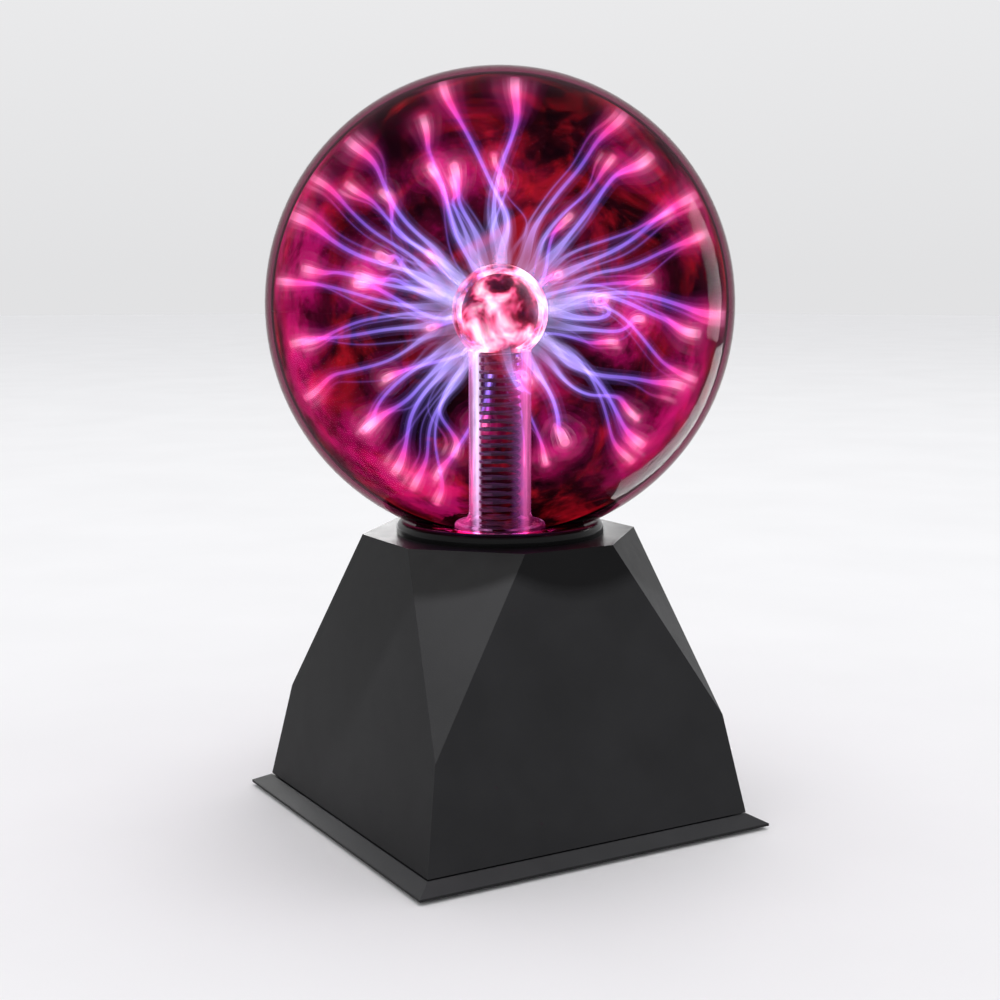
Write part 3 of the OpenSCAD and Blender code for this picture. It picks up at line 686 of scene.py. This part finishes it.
class Tubes:
    """Open tubes that become one piece, with a place along the streamer and a power at every point."""

    def __init__(self, sides):
        self.sides = sides
        self.verts = []
        self.faces = []
        self.along = []
        self.power = []

    def add_tube(self, points, radii, along, power):
        """One tube through the points, its rings square to the path and never past the glowing gas."""
        first = len(self.verts)
        across = (points[1] - points[0]).normalized().orthogonal().normalized()
        for index, point in enumerate(points):
            ahead = points[min(index + 1, len(points) - 1)]
            behind = points[max(index - 1, 0)]
            tangent = (ahead - behind).normalized()
            across = (across - tangent * across.dot(tangent)).normalized()
            other = tangent.cross(across)
            for side in range(self.sides):
                angle = 2 * math.pi * side / self.sides
                corner = point + (across * math.cos(angle) + other * math.sin(angle)) * radii[index]
                from_middle = corner - GLOBE
                if from_middle.length > GLOW_R:
                    corner = GLOBE + from_middle.normalized() * GLOW_R
                self.verts.append(tuple(corner))
            self.along += [along[index]] * self.sides
            self.power += [power[index]] * self.sides
        for low in range(first, len(self.verts) - self.sides, self.sides):
            high = low + self.sides
            for side in range(self.sides):
                after = (side + 1) % self.sides
                self.faces.append((low + side, low + after, high + after, high + side))

    def build(self, name, material):
        mesh = bpy.data.meshes.new(name)
        mesh.from_pydata(self.verts, [], self.faces)
        give_attributes(mesh, along=self.along, power=self.power)
        new_piece(name, mesh, material, "base")


def build_skins(strands):
    """Four nested skins for every strand: a bright core, two softer glows round it, and a faint haze."""
    for name, (widen, strength) in SKINS.items():
        tubes = Tubes(SKIN_SIDES)
        for path, thick, bright in strands:
            radii = [skin_radius(share, widen) * thick * MM for share in ALONG]
            power = [bright * skin_power(share) for share in ALONG]
            tubes.add_tube(path, radii, ALONG, power)
        tubes.build(name, skin_light(name, strength))


def build_veils(strands):
    """Five nested cones of soft light where every main streamer meets the glass."""
    first = int(STREAMER_STEPS * VEIL_START)
    shares = ALONG[first:]
    for name, (widen, strength) in VEILS.items():
        tubes = Tubes(VEIL_SIDES)
        for path, thick, bright in strands[::2]:
            cone = [VEIL_R + VEIL_FLARE * smooth(VEIL_START, 1.05, share) for share in shares]
            radii = [radius * thick * widen * MM for radius in cone]
            power = [bright * smooth(VEIL_START, 0.95, share) for share in shares]
            tubes.add_tube(path[first:], radii, shares, power)
        tubes.build(name, veil_light(name, strength))


# ---- The painted shade skin, and the glowing gas ----
def gas_skin(name, radius):
    """A sphere inside the glass, open where the stem comes in below the collar's lip."""
    mesh = bpy.data.meshes.new(name)
    skin = bmesh.new()
    bmesh.ops.create_icosphere(skin, subdivisions=7, radius=radius)
    bmesh.ops.translate(skin, verts=skin.verts, vec=GLOBE)
    low = [v for v in skin.verts if v.co.z < SKIN_BOTTOM]
    bmesh.ops.delete(skin, geom=low, context="VERTS")
    skin.to_mesh(mesh)
    skin.free()
    return mesh


def outward_directions(mesh):
    """The direction of every point of a skin from the middle of the globe."""
    points = np.empty(len(mesh.vertices) * 3)
    mesh.vertices.foreach_get("co", points)
    outward = points.reshape(-1, 3) - np.array(GLOBE)
    return outward / np.linalg.norm(outward, axis=1, keepdims=True)


def soft_patch(outward, direction, radius):
    """1 at a direction, fading to nothing over a radius in mm on the glowing skin."""
    apart = np.arccos(np.clip(outward @ np.array(direction), -1, 1)) * GLOW_R / MM
    return np.exp(-(apart / radius) ** 2)


def build_gas(ends):
    """A painted shade skin that darkens all seen through the globe, and inside it the gas that glows where
    streamers land and where GLOWS says.
    """
    # Painted shade: a dark skin just inside the glass.
    new_piece("painted_shade_skin", gas_skin("painted_shade_skin", SHADE_R), painted_shade_skin(), "base")
    mesh = gas_skin("gas_glow", GLOW_R)
    outward = outward_directions(mesh)
    halo = np.zeros(len(outward))
    hot = np.zeros(len(outward))
    chance = random.Random(GLOW_SEED)
    for _, foot in ends:
        halo += soft_patch(outward, foot, chance.uniform(9, 16)) * chance.uniform(0.25, 0.75)
        hot += soft_patch(outward, foot, chance.uniform(1.2, 2.0)) * chance.uniform(0.5, 0.9)
    for clock, reach, side, radius, power in GLOWS:
        halo += soft_patch(outward, clock_direction(clock, reach, side), radius) * power
    give_attributes(mesh, halo=np.clip(halo, 0, 1.2), hot=np.clip(hot, 0, 1.2))
    new_piece("gas_glow", mesh, gas_glow(), "base")


# ---- The raised marks on the switch ----
def round_outline(radius, half_length=0.0):
    """A circle, or a bar with round ends, as (across, along) points in mm."""
    points = []
    for step in range(MARK_STEPS):
        angle = 2 * math.pi * step / MARK_STEPS
        end = half_length if math.sin(angle) > 0 else -half_length
        points.append((radius * math.cos(angle), radius * math.sin(angle) + end))
    return points


def raised_mark(name, outline, hole, centre, across, along, normal):
    """A mesh of an outline, with its hole if it has one, that stands on the rocker's face at centre."""
    mark = bmesh.new()

    def ring(shape, up):
        base = centre + normal * up * MM
        return [mark.verts.new(base + across * x * MM + along * y * MM) for x, y in shape]

    rings = [ring(outline, -MARK_SUNK), ring(outline, MARK_HEIGHT)]
    if hole:
        rings += [ring(hole, MARK_HEIGHT), ring(hole, -MARK_SUNK)]
        walls = zip(rings, rings[1:] + rings[:1])
    else:
        mark.faces.new(rings[0])
        mark.faces.new(rings[1])
        walls = [rings]
    for one, two in walls:
        for step in range(MARK_STEPS):
            after = (step + 1) % MARK_STEPS
            mark.faces.new((one[step], one[after], two[after], two[step]))
    bmesh.ops.recalc_face_normals(mark, faces=mark.faces)
    mesh = bpy.data.meshes.new(name)
    mark.to_mesh(mesh)
    mark.free()
    return mesh


def build_switch_marks():
    """An I and an O standing proud of the rocker's two halves."""
    joint = next(j for j in frame["joints"] if j["name"] == "rocker_tilt")
    inlet = next(m for m in frame["record"]["mounts"] if m["name"] == "power_inlet_pin")
    pivot = Vector(joint["pos_m"])
    low_deg, high_deg = joint["range_deg"]
    tilt = math.radians((high_deg - low_deg) / 2)
    wall = Vector(inlet["axis"])         # the way that the rear face looks
    across = Vector((-1, 0, 0))
    upward = wall.cross(across)
    outward = wall * math.cos(tilt) + upward * math.sin(tilt)
    along = upward * math.cos(tilt) - wall * math.sin(tilt)
    slope = math.atan2(FACE_RISE, FACE_HALF)
    white = finish_of("mark_white")
    shapes = {
        "mark_on": (1, round_outline(BAR_R, BAR_HALF), None),
        "mark_off": (-1, round_outline(RING_OUTER_R), round_outline(RING_INNER_R)),
    }
    for name, (side, outline, hole) in shapes.items():
        centre = pivot + along * side * MARK_OFFSET * MM + outward * FACE_OUT * MM
        leaning = (along * math.cos(slope) + outward * side * math.sin(slope)).normalized()
        normal = leaning.cross(across).normalized()
        if normal.dot(outward) < 0:
            normal = -normal
        mesh = raised_mark(name, outline, hole, centre, across, leaning, normal)
        new_piece(name, mesh, white, "rocker", rounded=False)


# ---- The CAD pieces ----
def finish_nodes():
    """Gives each CAD node the finish of its slot, and rounds the moulded edges a little."""
    made = {}
    for row in frame["record"]["subparts"]:
        slot = row["material_slot"]
        if slot not in made:
            made[slot] = finish_of(slot)
        piece = nodes[row["node"]]
        piece.data.materials.clear()
        piece.data.materials.append(made[slot])
    for name, width in EDGED.items():
        piece = nodes[name]
        weld = piece.modifiers.new("weld", "WELD")
        weld.merge_threshold = 0.01 * MM
        bevel = piece.modifiers.new("edge", "BEVEL")
        bevel.width = width * MM
        bevel.segments = 3
        bevel.limit_method = "ANGLE"
        bevel.angle_limit = math.radians(8)
        bevel.harden_normals = True


# ---- Stage, light and camera ----
def build_stage():
    mesh = bpy.data.meshes.new("floor")
    disc = bmesh.new()
    bmesh.ops.create_circle(disc, cap_ends=True, radius=6, segments=96)
    disc.to_mesh(mesh)
    disc.free()
    floor = bpy.data.objects.new("floor", mesh)
    scene.collection.objects.link(floor)
    material, tree = new_material("floor")
    at = object_place(tree)
    pale = (0.86, 0.86, 0.87, 1.0)
    shader = principled(
        tree,
        Base_Color=shades(tree, noise_at(tree, at, 9, detail=3), pale, 0.015),
        Roughness=0.7,
        Specular_IOR_Level=0.2,
    )
    mesh.materials.append(finish_with(material, shader))


def build_world():
    """A plain bright studio: a little darker towards the horizon, where it meets the floor."""
    world = bpy.data.worlds.new("studio")
    scene.world = world
    world.use_nodes = True
    tree = world.node_tree
    tree.nodes.clear()
    height = split(tree, add(tree, "ShaderNodeTexCoord").outputs["Generated"])[2]
    tint = ramp(tree, height, [(0.0, (0.76, 0.76, 0.77, 1.0)), (0.3, (0.88, 0.88, 0.89, 1.0))])
    sky = add(tree, "ShaderNodeBackground", {"Color": tint, "Strength": 1.0}).outputs[0]
    add(tree, "ShaderNodeOutputWorld", {"Surface": sky})


def studio_place(right, back, up):
    """A place to the right of the object's middle, towards the viewer, and above the floor."""
    flat_back = Vector((VIEW_BACK.x, VIEW_BACK.y, 0)).normalized()
    return VIEW_RIGHT * right + flat_back * back + Vector((0, 0, up))


def area_light(name, location, size, power, aim_height=GLOBE.z):
    """A soft box at a place in the studio, turned to a height on the object's axis."""
    data = bpy.data.lights.new(name, "AREA")
    data.shape = "RECTANGLE"
    data.size, data.size_y = size
    data.energy = power
    lamp = bpy.data.objects.new(name, data)
    lamp.location = location
    lamp.rotation_euler = (location - Vector((0, 0, aim_height))).to_track_quat("Z", "Y").to_euler()
    scene.collection.objects.link(lamp)
    return lamp


def reach_only(lamps, names, group):
    """Lets the lamps light nothing but the named CAD nodes."""
    receivers = bpy.data.collections.new(group)
    for name in names:
        receivers.objects.link(nodes[name])
    for lamp in lamps:
        lamp.light_linking.receiver_collection = receivers


def build_room_lights():
    """One soft light from above for everything, and three that only bring out the shape of the base."""
    top = area_light("top", studio_place(0.2, -0.2, 2.8), size=(1.6, 1.6), power=20, aim_height=0.08)
    top.visible_glossy = False
    key = area_light("key", studio_place(-0.49, 0.66, 0.95), size=(0.5, 0.5), power=5.2, aim_height=0.07)
    spot = area_light("spot", studio_place(0.185, 0.517, 1.25), size=(0.06, 0.06), power=72, aim_height=0.07)
    glare = area_light("glare", studio_place(-0.35, -1.1, 0.3), size=(1.0, 0.3), power=7, aim_height=0.09)
    reach_only([key, spot, glare], ["base_housing", "base_plate", "rubber_feet"], "lit_base")


def build_crescent_lights():
    """Two strips, mirrored in the glass as one crescent down its right side."""
    rim = area_light("rim", studio_place(0.98, -0.62, 0.3), size=(0.3, 0.7), power=9)
    top_end, low_end = studio_place(0.206, -0.114, 0.129), studio_place(0.085, -0.038, 0.033)
    length = (top_end - low_end).length
    low_rim = area_light("low_rim", studio_place(0.1455, -0.076, 0.081), size=(0.04, length), power=0.3)
    along = (top_end - low_end).normalized()
    facing = low_rim.location - studio_place(0.05, 0.035, 0.125)
    facing = (facing - along * facing.dot(along)).normalized()
    low_rim.rotation_euler = Matrix((along.cross(facing), along, facing)).transposed().to_euler()
    low_rim.visible_camera = False
    for lamp in (rim, low_rim):
        lamp.visible_transmission = False
    reach_only([rim, low_rim], ["glass_globe"], "lit_by_rim")


def build_camera():
    data = bpy.data.cameras.new("camera")
    data.lens = 58
    data.sensor_width = 36
    data.clip_start = 0.01
    data.shift_y = 0.045      # brings the object to the middle of the frame
    camera = bpy.data.objects.new("camera", data)
    camera.location = VIEW_TARGET + VIEW_BACK * VIEW_DISTANCE
    camera.rotation_euler = VIEW_BACK.to_track_quat("Z", "Y").to_euler()
    scene.collection.objects.link(camera)
    scene.camera = camera


scene.view_settings.view_transform = "Standard"
# The streamers are many see-through skins, one behind another.
scene.cycles.transparent_max_bounces = 96
scene.cycles.min_transparent_bounces = 32
scene.cycles.min_light_bounces = 6
build_camera()
finish_nodes()
all_ends = listed_ends() + back_ends()
all_strands = streamer_strands(all_ends)
build_gas(all_ends)
build_skins(all_strands)
build_veils(all_strands)
build_switch_marks()
build_stage()
build_world()
build_room_lights()
build_crescent_lights()
